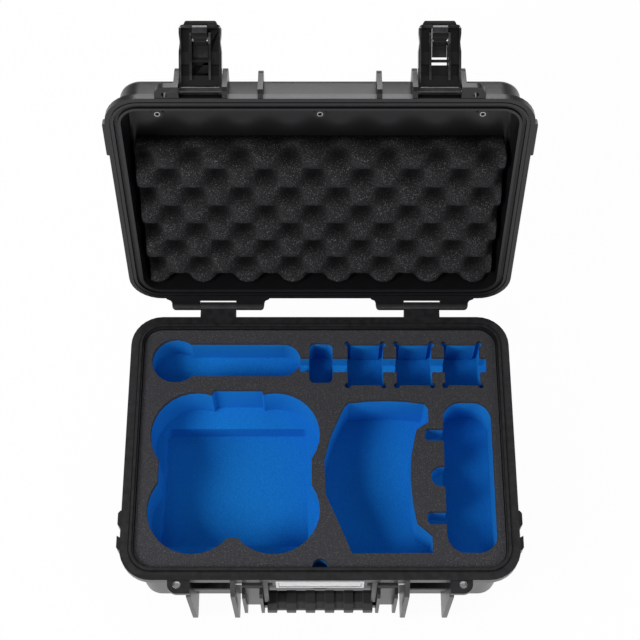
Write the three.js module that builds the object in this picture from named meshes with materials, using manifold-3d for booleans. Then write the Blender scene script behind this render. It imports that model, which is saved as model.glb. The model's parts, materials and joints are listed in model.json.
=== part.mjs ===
// Hard carrying case with fitted foam: open lid, two draw latches, front carry handle.
// Frame: millimetres, +X right, +Y to the hinges, +Z up, origin at the centre of the underside.
import * as THREE from 'three';
import { mergeVertices } from 'three/addons/utils/BufferGeometryUtils.js';
import Module from 'manifold-3d';

const wasm = await Module();
wasm.setup();

// ---- overall sizes ----
const RIM_WIDTH = 420;
const RIM_DEPTH = 300;
const RIM_CORNER = 34;
const BASE_HEIGHT = 128;
const LID_HEIGHT = 43;
const LID_OPEN_ANGLE = 104;
const LATCH_OPEN_ANGLE = 135;

// ---- clearances ----
const GAP = 0.3;
const RIM_GAP = 0.4;
const CATCH_GAP = 0.3;

// ---- shells ----
const WALL = 3.3;
const RIM_BAND = 14;
const BASE_FLOOR = 4;
const BASE_DRAFT = 4;
const BASE_EDGE = 12;
const CAVITY_EDGE = 8;
const BASE_FLANGE = 12;
const LID_BAND = 15.5;
const LID_TOP = 3.6;
const LID_DRAFT = 1.5;
const LID_EDGE = 8;
const LID_FLANGE = 8;
const FLANGE_CHAMFER = 1.5;

// ---- seal ----
const TONGUE_INSET = 9.8;
const TONGUE_WIDTH = 2.6;
const TONGUE_HEIGHT = 2.4;
const TONGUE_MOAT = 1.2;
const MOAT_DEPTH = 1.4;
const SEAL_GROOVE_DEPTH = 4.6;
const GASKET_THICKNESS = 1.8;
const DRIP_INSET = 4.6;
const DRIP_WIDTH = 1.2;
const DRIP_DEPTH = 1.2;

// ---- stations shared by latches, hinges and their ears ----
const STATION_X = 114.3;
const LATCH_WIDTH = 40.8;
const LATCH_SIDE_GAP = 0.35;
const FIN_THICKNESS = 5;
const FIN_REACH = 13;
const FIN_GRIP_GAP = 2;
const LID_FIN_HEIGHT = 37;
const LID_FIN_REACH = 12;

// ---- hinges ----
const HINGE_SETBACK = 13.4;
const KNUCKLE_RADIUS = 4.7;
const HINGE_PIN_RADIUS = 2.2;
const BASE_KNUCKLE_WIDTH = 40;
const LID_KNUCKLE_WIDTH = 106;
const LID_HINGE_ROOT = 115;
const HINGE_PIN_LENGTH = 92;

// ---- latches ----
const ROD_RADIUS = 2;
const ROD_FORWARD = 4.5;
const ROD_RISE = 7.5;
const LATCH_HUB_RADIUS = 3.6;
const LATCH_TIP = 5.2;
const LATCH_OUTSIDE = 9;
const LATCH_SKIN = 2.4;
const LATCH_RAIL_X = 8;
const LATCH_RAIL_WIDTH = 2.2;
const ROCKER_HALF_WIDTH = 7;
const ROCKER_PIN_DROP = 47;
const ROCKER_PIN_INSIDE = 2;
const ROCKER_PIN_RADIUS = 1.4;
const ROCKER_TOP_DROP = 31;
const NOSE_DROP = 52.9;
const NOSE_HEIGHT = 7.4;
const NOSE_REACH = 7;
const CATCH_HEIGHT = 7.5;
const CATCH_THICKNESS = 3.5;

// ---- padlock ears ----
const EAR_SPACING = 8.45;
const EAR_HOLE_FORWARD = 4.6;
const EAR_REACH = 14;
const EAR_HALF_WIDTH = 10;
const EAR_THICKNESS = 6;
const PADLOCK_HOLE_RADIUS = 3.2;
const BUSH_RADIUS = 4;

// ---- handle ----
const HANDLE_PIVOT_BACK = 3;
const HANDLE_PIVOT_DROP = 24;
const HANDLE_PIN_RADIUS = 2;
const HANDLE_HUB_RADIUS = 6.3;
const HANDLE_LATCH_GAP = 6.55;
const HANDLE_ARM_WIDTH = 21.8;
const HANDLE_FIN_GAP = 0.7;
const HANDLE_FLANGE = 3.4;
const HANDLE_LENGTH = 77;
const HANDLE_FRONT = 15;
const HANDLE_WEB = 3;
const GRIP_END_GAP = 3.2;
const GRIP_HEIGHT = 23;
const GRIP_BACK = 7;
const GRIP_SEGMENTS = 11;
const GRIP_RELIEF = 2.2;
const GRIP_BAR_HEIGHT = 11;
const GRIP_BAR_DEPTH = 11;

// ---- nameplate and pressure valve ----
const PLATE_LENGTH = 86;
const PLATE_HEIGHT = 16.5;
const PLATE_THICKNESS = 1;
const FRAME_BORDER = 3;
const FRAME_DEPTH = 1.6;
const PAD_MARGIN = 3.5;
const PAD_DROP = 26;
const VALVE_RADIUS = 14;
const VALVE_DROP = 41;
const VALVE_STEM_RADIUS = 6;
const VALVE_FLANGE = 4;
const VALVE_CAP_RADIUS = 11;
const VALVE_CAP_HEIGHT = 3.5;

// ---- strap lugs ----
const LUG_FROM_FRONT = 33;
const LUG_LENGTH = 43;
const LUG_PROUD = 4;
const LUG_TOP_DROP = 4;
const LUG_HEIGHT = 20;
const LID_PAD_PROUD = 2.6;
const LID_PAD_HEIGHT = 7;

// ---- foam ----
const FOAM_DROP = 4;
const SHEET_THICKNESS = 6;
const LID_FOAM_THICKNESS = 20;
const LID_FOAM_SIDE_GAP = 0.6;
const LID_FOAM_FROM_INSERTS = 32.3;
const LID_FOAM_ROUNDING = 1.4;
const POCKETS_WIDTH = 392;
const POCKETS_DEPTH = 272;

// ---- lid inserts ----
const INSERT_FROM_SIDE = 47;
const INSERT_FROM_FRONT = 54;
const INSERT_RADIUS = 3.2;
const INSERT_BORE = 1.9;
const INSERT_LENGTH = 4;
const INSERT_BOSS_WALL = 2.4;
const INSERT_BOSS_HEIGHT = 3;
const INSERT_PROUD = 0.5;

// ---- facets: arcs take twice these divisions, rounds keep within the sagitta ----
const CORNER_DIVISIONS = 4;
const ARC_DIVISIONS = 3;
const EAR_ARC_STEPS = 6;
const SAGITTA = 0.08;
const POCKET_SAGITTA = 0.25;
const FEWEST_SIDES = 12;
const FEWEST_POCKET_SIDES = 8;

// ---- places worked out from the sizes ----
const WALL_INSET = RIM_BAND - WALL;
const FRONT_Y = -RIM_DEPTH / 2;
const BACK_Y = RIM_DEPTH / 2;
const LID_Z = BASE_HEIGHT + RIM_GAP;
const LID_TOP_Z = LID_Z + LID_HEIGHT;
const CEILING_Z = LID_TOP_Z - LID_TOP;
const HINGE_Y = BACK_Y + HINGE_SETBACK;
const HINGE_Z = BASE_HEIGHT + RIM_GAP / 2;
const FIN_OFFSET = LATCH_WIDTH / 2 + LATCH_SIDE_GAP + FIN_THICKNESS / 2;
const ROD_Y = FRONT_Y - ROD_FORWARD;
const ROD_Z = LID_Z + ROD_RISE;
const NOSE_TOP_Z = ROD_Z - NOSE_DROP;
const NOSE_END = NOSE_DROP + NOSE_HEIGHT;
const LATCH_LENGTH = NOSE_END + LATCH_TIP;
const FIN_FAR_SIDE = FIN_OFFSET + FIN_THICKNESS / 2;
const EAR_X = STATION_X + FIN_FAR_SIDE + EAR_SPACING;
const HANDLE_PIVOT_Y = FRONT_Y + HANDLE_PIVOT_BACK;
const HANDLE_PIVOT_Z = BASE_HEIGHT - HANDLE_PIVOT_DROP;
const HANDLE_OUTSIDE_X = STATION_X - FIN_FAR_SIDE - HANDLE_LATCH_GAP;
const HANDLE_INSIDE_X = HANDLE_OUTSIDE_X - HANDLE_ARM_WIDTH;
const INNER_FIN_X = HANDLE_INSIDE_X - HANDLE_FIN_GAP - FIN_THICKNESS / 2;
const GRIP_HALF_LENGTH = HANDLE_INSIDE_X - GRIP_END_GAP;
const LUG_FRONT_Y = FRONT_Y + LUG_FROM_FRONT;
const LUG_BACK_Y = LUG_FRONT_Y + LUG_LENGTH;
const FOAM_TOP = BASE_HEIGHT - FOAM_DROP;
const SHEET_Z = FOAM_TOP - SHEET_THICKNESS;
const LID_CAVITY_INSET = LID_BAND + LID_DRAFT + LID_EDGE - LID_TOP;
const INSERT_X = RIM_WIDTH / 2 - INSERT_FROM_SIDE;
const SIDES = [-1, 1];
const SIDE_NAMES = { '-1': 'left', 1: 'right' };

// ---- materials ----
function finish(colour, roughness, metalness) {
  return new THREE.MeshStandardMaterial({ color: colour, roughness, metalness });
}

const blackPlastic = finish(0x1b1b1d, 0.5, 0);
const gasketRubber = finish(0x0c0c0d, 0.8, 0);
const gripRubber = finish(0x222224, 0.75, 0);
const steel = finish(0x9a9a98, 0.35, 1);
const silverPlate = finish(0xc9cbcd, 0.3, 1);
const greyFoam = finish(0x3e3e42, 0.95, 0);
const blueFoam = finish(0x1f6fc8, 0.9, 0);
const charcoalFoam = finish(0x2b2b2e, 0.95, 0);

// ---- geometry helpers ----
function solidOf(geometry) {
  const bare = geometry.clone();
  bare.deleteAttribute('normal');
  bare.deleteAttribute('uv');
  const merged = mergeVertices(bare, 1e-4);
  const corners = merged.index.array;
  const faces = [];
  for (let i = 0; i < corners.length; i += 3) {
    const [a, b, c] = [corners[i], corners[i + 1], corners[i + 2]];
    if (a !== b && b !== c && c !== a) faces.push(a, b, c);
  }
  const vertProperties = Float32Array.from(merged.attributes.position.array);
  const triVerts = Uint32Array.from(faces);
  return new wasm.Manifold(new wasm.Mesh({ numProp: 3, vertProperties, triVerts }));
}

function geometryOf(solid) {
  const { vertProperties, triVerts } = solid.getMesh();
  const geometry = new THREE.BufferGeometry();
  geometry.setAttribute('position', new THREE.BufferAttribute(vertProperties, 3));
  geometry.setIndex(new THREE.BufferAttribute(triVerts, 1));
  geometry.computeVertexNormals();
  return geometry;
}

function named(name, solid, material) {
  const mesh = new THREE.Mesh(geometryOf(solid), material);
  mesh.name = name;
  return mesh;
}

function join(solids) {
  return solids.reduce((whole, piece) => whole.add(piece));
}

function cut(solid, tools) {
  return tools.reduce((rest, tool) => rest.subtract(tool), solid);
}

function extruded(shape, depth, steps = 1) {
  return new THREE.ExtrudeGeometry(shape, {
    depth, steps, bevelEnabled: false, curveSegments: ARC_DIVISIONS,
  });
}

// A plan outline (x, y) raised from z0 to z1.
function alongZ(shape, z0, z1) {
  return solidOf(extruded(shape, z1 - z0).translate(0, 0, z0));
}

// A side outline (y, z) carried along X between two stations.
function alongX(shape, xa, xb) {
  const geometry = extruded(shape, Math.abs(xb - xa));
  geometry.applyMatrix4(new THREE.Matrix4().set(0, 0, 1, 0, 1, 0, 0, 0, 0, 1, 0, 0, 0, 0, 0, 1));
  return solidOf(geometry.translate(Math.min(xa, xb), 0, 0));
}

// A front outline (x, z) carried along Y between two stations.
function alongY(shape, ya, yb) {
  const geometry = extruded(shape, Math.abs(yb - ya));
  geometry.rotateX(Math.PI / 2);
  return solidOf(geometry.translate(0, Math.max(ya, yb), 0));
}

function box(xa, xb, ya, yb, za, zb) {
  const geometry = new THREE.BoxGeometry(Math.abs(xb - xa), yb - ya, zb - za);
  return solidOf(geometry.translate((xa + xb) / 2, (ya + yb) / 2, (za + zb) / 2));
}

// Sides that keep a round of this radius within a sagitta, in whole fours.
function sidesFor(radius, sagitta = SAGITTA, fewest = FEWEST_SIDES) {
  return Math.max(fewest, 4 * Math.ceil(Math.PI / Math.acos(1 - sagitta / radius) / 4));
}

function rodAlongX(radius, xa, xb, y, z) {
  const length = Math.abs(xb - xa);
  const geometry = new THREE.CylinderGeometry(radius, radius, length, sidesFor(radius));
  return solidOf(geometry.rotateZ(Math.PI / 2).translate((xa + xb) / 2, y, z));
}

function rodAlongY(radius, x, ya, yb, z) {
  const geometry = new THREE.CylinderGeometry(radius, radius, yb - ya, sidesFor(radius));
  return solidOf(geometry.translate(x, (ya + yb) / 2, z));
}

function rodAlongZ(radius, x, y, za, zb) {
  const geometry = new THREE.CylinderGeometry(radius, radius, zb - za, sidesFor(radius));
  return solidOf(geometry.rotateX(Math.PI / 2).translate(x, y, (za + zb) / 2));
}

// A ring about the Z axis, its section a closed rectangle.
function ringAlongZ(inner, outer, x, y, za, zb) {
  const section = [[inner, za], [outer, za], [outer, zb], [inner, zb], [inner, za]];
  const points = section.map(([r, h]) => new THREE.Vector2(r, h));
  const geometry = new THREE.LatheGeometry(points, sidesFor(outer));
  return solidOf(geometry.rotateX(Math.PI / 2).translate(x, y, 0));
}

function polygon(points) {
  return new THREE.Shape(points.map(([a, b]) => new THREE.Vector2(a, b)));
}

function roundedRectangle(x0, x1, y0, y1, radius) {
  const shape = new THREE.Shape();
  shape.moveTo(x0 + radius, y0);
  shape.lineTo(x1 - radius, y0);
  shape.absarc(x1 - radius, y0 + radius, radius, -Math.PI / 2, 0, false);
  shape.absarc(x1 - radius, y1 - radius, radius, 0, Math.PI / 2, false);
  shape.absarc(x0 + radius, y1 - radius, radius, Math.PI / 2, Math.PI, false);
  shape.absarc(x0 + radius, y0 + radius, radius, Math.PI, 1.5 * Math.PI, false);
  return shape;
}

// The rim outline, drawn in by an inset, as a plan shape.
function rimOutline(inset) {
  const halfWidth = RIM_WIDTH / 2 - inset;
  const halfDepth = RIM_DEPTH / 2 - inset;
  return roundedRectangle(-halfWidth, halfWidth, -halfDepth, halfDepth, RIM_CORNER - inset);
}

// A prism on the rim outline whose inset changes from level to level: [z, inset] pairs.
// Every vertex of the outline lies on a corner arc, so it draws in towards that arc's centre.
function rimLoft(levels) {
  const outline = rimOutline(0);
  const geometry = new THREE.ExtrudeGeometry(outline, {
    depth: levels.length - 1, steps: levels.length - 1, bevelEnabled: false,
    curveSegments: CORNER_DIVISIONS,
  });
  const place = geometry.attributes.position;
  for (let i = 0; i < place.count; i += 1) {
    const [z, inset] = levels[Math.round(place.getZ(i))];
    const shrink = 1 - inset / RIM_CORNER;
    const centreX = Math.sign(place.getX(i)) * (RIM_WIDTH / 2 - RIM_CORNER);
    const centreY = Math.sign(place.getY(i)) * (RIM_DEPTH / 2 - RIM_CORNER);
    const x = centreX + (place.getX(i) - centreX) * shrink;
    const y = centreY + (place.getY(i) - centreY) * shrink;
    place.setXYZ(i, x, y, z);
  }
  return solidOf(geometry);
}

function rimRing(outerInset, innerInset, z0, z1) {
  const outside = rimLoft([[z0, outerInset], [z1, outerInset]]);
  return outside.subtract(rimLoft([[z0 - 1, innerInset], [z1 + 1, innerInset]]));
}

// Levels of a quarter-round edge, from the flat face to the wall; rise is +1 or -1.
function edgeLevels(z, inset, radius, rise, steps) {
  return Array.from({ length: steps + 1 }, (_, k) => {
    const turn = (Math.PI / 2) * (k / steps);
    return [z + rise * radius * (1 - Math.cos(turn)), inset + radius * (1 - Math.sin(turn))];
  });
}

function baseWallY(z) {
  return FRONT_Y + WALL_INSET + BASE_DRAFT * (1 - z / BASE_HEIGHT);
}

// ---- base shell ----
function cavityLevels(clearance, top) {
  const floorInset = RIM_BAND + clearance + BASE_DRAFT;
  const topInset = RIM_BAND + clearance + BASE_DRAFT * (1 - top / BASE_HEIGHT);
  return [...edgeLevels(BASE_FLOOR + clearance, floorInset, CAVITY_EDGE, 1, 2), [top, topInset]];
}

function baseBody() {
  const wall = rimLoft([
    ...edgeLevels(0, WALL_INSET + BASE_DRAFT, BASE_EDGE, 1, 4),
    [BASE_HEIGHT, WALL_INSET],
  ]);
  const flangeZ = BASE_HEIGHT - BASE_FLANGE;
  const flange = rimLoft([
    [flangeZ, FLANGE_CHAMFER],
    [flangeZ + FLANGE_CHAMFER, 0],
    [BASE_HEIGHT, 0],
  ]);
  const tongueInside = TONGUE_INSET + TONGUE_WIDTH;
  const tongue = rimRing(TONGUE_INSET, tongueInside, BASE_HEIGHT - 1, BASE_HEIGHT + TONGUE_HEIGHT);
  return join([wall, flange, tongue]);
}

function baseFinProfile(reach) {
  const front = FRONT_Y - reach;
  const root = FRONT_Y + RIM_BAND + BASE_DRAFT;
  return polygon([
    [root, BASE_HEIGHT - BASE_FLANGE], [FRONT_Y + 1, BASE_HEIGHT - 2],
    [front + 2, BASE_HEIGHT - 16], [front, BASE_HEIGHT - 20],
    [front, BASE_EDGE + 2], [front + 2, BASE_EDGE / 2], [front + 6, BASE_EDGE / 4],
    [root, BASE_EDGE / 4],
  ]);
}

function innerFinProfile() {
  const front = FRONT_Y - 5;
  const low = HANDLE_PIVOT_Z - HANDLE_LENGTH + GRIP_HEIGHT + FIN_GRIP_GAP;
  const root = FRONT_Y + RIM_BAND + BASE_DRAFT;
  return polygon([
    [root, BASE_HEIGHT - BASE_FLANGE], [FRONT_Y + 1, BASE_HEIGHT - 3],
    [FRONT_Y - 3, BASE_HEIGHT - 16], [front, HANDLE_PIVOT_Z - 13],
    [front, low + 2], [front + 2, low], [root, low],
  ]);
}

function padlockEarOutline(side) {
  const inner = STATION_X + LATCH_WIDTH / 2 + LATCH_SIDE_GAP;
  const outer = EAR_X + EAR_HALF_WIDTH;
  const front = FRONT_Y - EAR_REACH;
  const tipY = front + EAR_HALF_WIDTH;
  const shape = new THREE.Shape();
  shape.moveTo(side * inner, FRONT_Y + 2);
  shape.lineTo(side * inner, front);
  shape.lineTo(side * EAR_X, front);
  for (let k = 1; k <= EAR_ARC_STEPS; k += 1) {
    const turn = (k / EAR_ARC_STEPS) * (Math.PI / 2);
    const x = EAR_X + EAR_HALF_WIDTH * Math.sin(turn);
    shape.lineTo(side * x, tipY - EAR_HALF_WIDTH * Math.cos(turn));
  }
  shape.lineTo(side * outer, FRONT_Y + 2);
  return shape;
}

function strapLugs(side) {
  const root = RIM_WIDTH / 2 - WALL_INSET;
  const edge = RIM_WIDTH / 2 - 1.5;
  const tip = RIM_WIDTH / 2 + LUG_PROUD;
  const top = BASE_HEIGHT - LUG_TOP_DROP;
  const back = [
    [root, LUG_BACK_Y], [tip - 2.5, LUG_BACK_Y], [tip, LUG_BACK_Y - 3],
    [tip, LUG_BACK_Y - 15], [edge, LUG_BACK_Y - 22.5], [root, LUG_BACK_Y - 22.5],
  ];
  const front = [
    [root, LUG_FRONT_Y + 12.5], [edge, LUG_FRONT_Y + 12.5], [tip, LUG_FRONT_Y + 15.5],
    [tip, LUG_FRONT_Y + 3], [tip - 2.5, LUG_FRONT_Y], [root, LUG_FRONT_Y],
  ];
  return [back, front].map((points) => {
    const outline = polygon(points.map(([x, y]) => [side * x, y]));
    return alongZ(outline, top - LUG_HEIGHT, top);
  });
}

function baseKnuckle(x) {
  const half = BASE_KNUCKLE_WIDTH / 2;
  const low = BASE_HEIGHT - BASE_FLANGE;
  const tab = polygon([
    [BACK_Y - 1, low], [BACK_Y - 1, BASE_HEIGHT - RIM_GAP], [HINGE_Y, BASE_HEIGHT - RIM_GAP],
    [HINGE_Y, HINGE_Z - KNUCKLE_RADIUS + 0.1],
  ]);
  const barrel = rodAlongX(KNUCKLE_RADIUS, x - half, x + half, HINGE_Y, HINGE_Z);
  return alongX(tab, x - half, x + half).add(barrel);
}

function catchBar(side) {
  const inner = side * (STATION_X - FIN_OFFSET);
  const outer = side * (STATION_X + FIN_OFFSET);
  const low = NOSE_TOP_Z + CATCH_GAP;
  const high = low + CATCH_HEIGHT;
  const front = FRONT_Y - 0.5;
  const root = FRONT_Y + RIM_BAND + BASE_DRAFT;
  const profile = polygon([
    [front, low], [front, high - 1], [front + 1, high], [root, high], [root, high - 3],
    [front + CATCH_THICKNESS, high - 3], [front + CATCH_THICKNESS, low],
  ]);
  return alongX(profile, inner, outer);
}

function baseFittings(side) {
  const fin = baseFinProfile(FIN_REACH);
  const half = FIN_THICKNESS / 2;
  const inner = side * (STATION_X - FIN_OFFSET);
  const outer = side * (STATION_X + FIN_OFFSET);
  const rib = side * INNER_FIN_X;
  const earTop = BASE_HEIGHT - 1;
  return [
    alongX(fin, inner - half, inner + half),
    alongX(fin, outer - half, outer + half),
    alongX(innerFinProfile(), rib - half, rib + half),
    alongZ(padlockEarOutline(side), earTop - EAR_THICKNESS, earTop),
    catchBar(side),
    baseKnuckle(side * STATION_X),
    ...strapLugs(side),
  ];
}

function baseBores(side) {
  const station = side * STATION_X;
  const reach = BASE_KNUCKLE_WIDTH;
  const earY = FRONT_Y - EAR_HOLE_FORWARD;
  const handleEnd = STATION_X - FIN_OFFSET;
  return [
    rodAlongX(HINGE_PIN_RADIUS + GAP, station - reach, station + reach, HINGE_Y, HINGE_Z),
    rodAlongZ(BUSH_RADIUS + GAP, side * EAR_X, earY, BASE_HEIGHT - 20, BASE_HEIGHT + 5),
    rodAlongX(HANDLE_PIN_RADIUS + GAP, side * (INNER_FIN_X - 10), side * (handleEnd + 10),
      HANDLE_PIVOT_Y, HANDLE_PIVOT_Z),
  ];
}

function nameplatePad() {
  const half = PLATE_LENGTH / 2 + FRAME_BORDER + PAD_MARGIN;
  return box(-half, half, FRONT_Y, FRONT_Y + WALL_INSET + BASE_DRAFT,
    BASE_HEIGHT - PAD_DROP, BASE_HEIGHT - 2);
}

// What the nameplate frame needs clear in front of its pad.
function nameplateRoom() {
  const half = PLATE_LENGTH / 2 + FRAME_BORDER + GAP;
  return box(-half, half, FRONT_Y - FIN_REACH - 1, FRONT_Y, BASE_HEIGHT - PAD_DROP, BASE_HEIGHT);
}

function baseShell() {
  const fittings = SIDES.flatMap(baseFittings);
  const moatOutside = rimRing(TONGUE_INSET - TONGUE_MOAT, TONGUE_INSET,
    BASE_HEIGHT - MOAT_DEPTH, BASE_HEIGHT + 1);
  const moatInside = rimRing(TONGUE_INSET + TONGUE_WIDTH, RIM_BAND + 1,
    BASE_HEIGHT - MOAT_DEPTH, BASE_HEIGHT + TONGUE_HEIGHT + 1);
  const valveZ = BASE_HEIGHT - VALVE_DROP;
  const valveBore = rodAlongY(VALVE_STEM_RADIUS + GAP, 0, FRONT_Y - 5, FRONT_Y + 25, valveZ);
  const cavity = rimLoft([
    ...cavityLevels(0, BASE_HEIGHT),
    [BASE_HEIGHT + 10, RIM_BAND],
  ]);
  const whole = join([baseBody(), nameplatePad(), ...fittings]);
  const bores = SIDES.flatMap(baseBores);
  return cut(whole, [cavity, moatOutside, moatInside, valveBore, nameplateRoom(), ...bores]);
}

// ---- base foam: pocket outlines, each with the depth below the foam's top ----
function circle(x, y, radius) {
  const count = sidesFor(radius, POCKET_SAGITTA, FEWEST_POCKET_SIDES);
  return polygon(Array.from({ length: count }, (_, k) => {
    const turn = (2 * Math.PI * k) / count;
    return [x + radius * Math.cos(turn), y + radius * Math.sin(turn)];
  }));
}

// Each pocket reaches up past the sheet and down to its own floor. The outlines are drawn for a
// foam of POCKETS_WIDTH by POCKETS_DEPTH, and the layout follows the case's own foam.
function pocket(shape, depth) {
  const across = (RIM_WIDTH - 2 * RIM_BAND) / POCKETS_WIDTH;
  const along = (RIM_DEPTH - 2 * RIM_BAND) / POCKETS_DEPTH;
  return alongZ(shape, FOAM_TOP - depth, FOAM_TOP + 2).scale([across, along, 1]);
}

function aircraftPocket() {
  const depth = 55;
  const lobes = [[-135, 12.5], [-49, 12.5], [-135, -72.4], [-49, -72.4]];
  const nose = polygon([[-126, 40], [-117, 64], [-64, 64], [-56, 40]]);
  return [
    ...lobes.map(([x, y]) => pocket(circle(x, y, 49), depth)),
    pocket(roundedRectangle(-174, -9, -72.4, 12.5, 8), depth),
    pocket(roundedRectangle(-117, -67, -104, 45, 6), depth),
    pocket(nose, depth),
    pocket(roundedRectangle(-173, -13, -98, 38, 6), depth + 24),
  ];
}

function gripControllerPocket() {
  const depth = 42;
  return [
    pocket(circle(-160, 99, 26.5), depth),
    pocket(roundedRectangle(-160, -21.5, 80, 120, 19.5), depth),
  ];
}

function batteryPockets() {
  const depth = 46;
  const relief = 3.5;
  const [y0, y1] = [69, 119];
  const wells = [50.4, 104.6, 157.9].flatMap((x) => {
    const [x0, x1] = [x - 19.75, x + 19.75];
    const corners = [[x0, y0], [x1, y0], [x0, y1], [x1, y1]];
    return [
      pocket(roundedRectangle(x0, x1, y0, y1, 1), depth),
      ...corners.map(([cx, cy]) => pocket(circle(cx, cy, relief), depth)),
    ];
  });
  return [
    ...wells,
    pocket(roundedRectangle(-12, 14, 72, 120.5, 6), depth),
    pocket(roundedRectangle(-23, 185, 84.7, 102.9, 2), 25),
  ];
}

function gogglesPocket() {
  const outline = polygon([
    [27, 45.6], [31, 49.4], [53, 51.6], [75.7, 52.3], [95, 51.2], [114.4, 48.6], [118.6, 44],
    [118.6, 26.4], [105, 17.5], [99, -10], [97.5, -35], [99, -62], [103, -87], [118.9, -101],
    [118.4, -120], [33.7, -120.6], [20, -88], [6, -56], [4.7, -16], [12, 12], [22.8, 36.8],
  ]);
  return [pocket(outline, 62)];
}

function remotePocket() {
  const depth = 52;
  return [
    pocket(roundedRectangle(134, 187, -120, 50, 20), depth),
    pocket(roundedRectangle(114, 150, 4.6, 18.5, 4), depth - 20),
    pocket(roundedRectangle(119, 150, -47.5, -24, 11.5), depth - 20),
    pocket(roundedRectangle(114, 150, -89, -75, 4), depth - 20),
  ];
}

function fingerNotch() {
  return [pocket(circle(0, 2 - POCKETS_DEPTH / 2, 8), 25)];
}

function allPockets() {
  return [
    ...aircraftPocket(), ...gripControllerPocket(), ...batteryPockets(),
    ...gogglesPocket(), ...remotePocket(), ...fingerNotch(),
  ];
}

function foamBlock(pockets) {
  return cut(rimLoft(cavityLevels(GAP, SHEET_Z)), pockets);
}

function foamSheet(pockets) {
  const inset = RIM_BAND + GAP + BASE_DRAFT * (1 - SHEET_Z / BASE_HEIGHT);
  return cut(rimLoft([[SHEET_Z, inset], [FOAM_TOP, inset]]), pockets);
}

// ---- small parts on the base ----
function nameplateFrame() {
  const halfOuter = PLATE_LENGTH / 2 + FRAME_BORDER;
  const halfInner = PLATE_LENGTH / 2;
  const top = BASE_HEIGHT - 0.5;
  const low = BASE_HEIGHT - PAD_DROP + 1;
  const front = FRONT_Y - GAP - FRAME_DEPTH;
  const back = FRONT_Y - GAP;
  const window = box(-halfInner, halfInner, front - 1, back + 1,
    low + FRAME_BORDER, low + FRAME_BORDER + PLATE_HEIGHT);
  return box(-halfOuter, halfOuter, front, back, low, top).subtract(window);
}

function nameplate() {
  const half = PLATE_LENGTH / 2 - GAP;
  const low = BASE_HEIGHT - PAD_DROP + 1 + FRAME_BORDER + GAP;
  const back = FRONT_Y - GAP;
  return box(-half, half, back - PLATE_THICKNESS, back, low, low + PLATE_HEIGHT - 2 * GAP);
}

function valveHousing() {
  const z = BASE_HEIGHT - VALVE_DROP;
  const seat = baseWallY(z) - GAP - 0.5;
  const flange = rodAlongY(VALVE_RADIUS, 0, seat - VALVE_FLANGE, seat, z);
  const stem = rodAlongY(VALVE_STEM_RADIUS, 0, seat - 1, seat + WALL, z);
  return flange.add(stem);
}

function valveCap() {
  const z = BASE_HEIGHT - VALVE_DROP;
  const seat = baseWallY(z) - GAP - 0.5 - VALVE_FLANGE - GAP;
  const cap = rodAlongY(VALVE_CAP_RADIUS, 0, seat - VALVE_CAP_HEIGHT, seat, z);
  const slot = box(-VALVE_CAP_RADIUS - 1, VALVE_CAP_RADIUS + 1,
    seat - VALVE_CAP_HEIGHT - 1, seat - VALVE_CAP_HEIGHT + 1, z - 1.2, z + 1.2);
  return cap.subtract(slot);
}

function earBush(side) {
  const top = BASE_HEIGHT - 1;
  return ringAlongZ(PADLOCK_HOLE_RADIUS, BUSH_RADIUS, side * EAR_X,
    FRONT_Y - EAR_HOLE_FORWARD, top - EAR_THICKNESS, top);
}

function hingePin(side) {
  const half = HINGE_PIN_LENGTH / 2;
  const x = side * STATION_X;
  return rodAlongX(HINGE_PIN_RADIUS, x - half, x + half, HINGE_Y, HINGE_Z);
}

function handlePin(side) {
  const half = FIN_THICKNESS / 2;
  const inner = side * (INNER_FIN_X - half);
  const outer = side * (STATION_X - FIN_OFFSET + half - 0.6);
  return rodAlongX(HANDLE_PIN_RADIUS, inner, outer, HANDLE_PIVOT_Y, HANDLE_PIVOT_Z);
}

// ---- handle, drawn hanging; its parts share the pivot line as their frame ----
function handleArm(side) {
  const front = -HANDLE_FRONT;
  const back = -HANDLE_WEB / 2;
  const web = polygon([
    [back, 0], [back - HANDLE_WEB, 0], [back - HANDLE_WEB, -HANDLE_LENGTH],
    [back, -HANDLE_LENGTH],
  ]);
  const flange = polygon([
    [back, 0], [-HANDLE_HUB_RADIUS, 2], [front + 3, -1], [front, -6],
    [front, 5 - HANDLE_LENGTH], [front + 3, -HANDLE_LENGTH], [back, -HANDLE_LENGTH],
  ]);
  const inside = side * HANDLE_INSIDE_X;
  const outside = side * HANDLE_OUTSIDE_X;
  return join([
    alongX(web, inside, outside),
    alongX(flange, inside, inside + side * HANDLE_FLANGE),
    alongX(flange, outside, outside - side * HANDLE_FLANGE),
    rodAlongX(HANDLE_HUB_RADIUS, inside, outside, 0, 0),
  ]);
}

function gripBarProfile(clearance) {
  const middleY = (GRIP_BACK - HANDLE_FRONT) / 2;
  const middleZ = GRIP_HEIGHT / 2 - HANDLE_LENGTH;
  const y = GRIP_BAR_DEPTH / 2 + clearance;
  const z = GRIP_BAR_HEIGHT / 2 + clearance;
  return polygon([
    [middleY - y, middleZ - z], [middleY + y, middleZ - z],
    [middleY + y, middleZ + z], [middleY - y, middleZ + z],
  ]);
}

function handleFrame() {
  const bores = rodAlongX(HANDLE_PIN_RADIUS + GAP, -RIM_WIDTH / 2, RIM_WIDTH / 2, 0, 0);
  const bar = alongX(gripBarProfile(0), -HANDLE_INSIDE_X - 1, HANDLE_INSIDE_X + 1);
  return join([...SIDES.map(handleArm), bar]).subtract(bores);
}

function gripProfile(relief) {
  const front = -HANDLE_FRONT + relief;
  const low = -HANDLE_LENGTH + relief;
  const high = low + GRIP_HEIGHT - 2 * relief;
  const back = GRIP_BACK;
  return polygon([
    [front, low + 5], [front + 4, low], [back - 4, low], [back, low + 4],
    [back, high - 4], [back - 4, high], [front + 6, high], [front, high - 6],
  ]);
}

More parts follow.
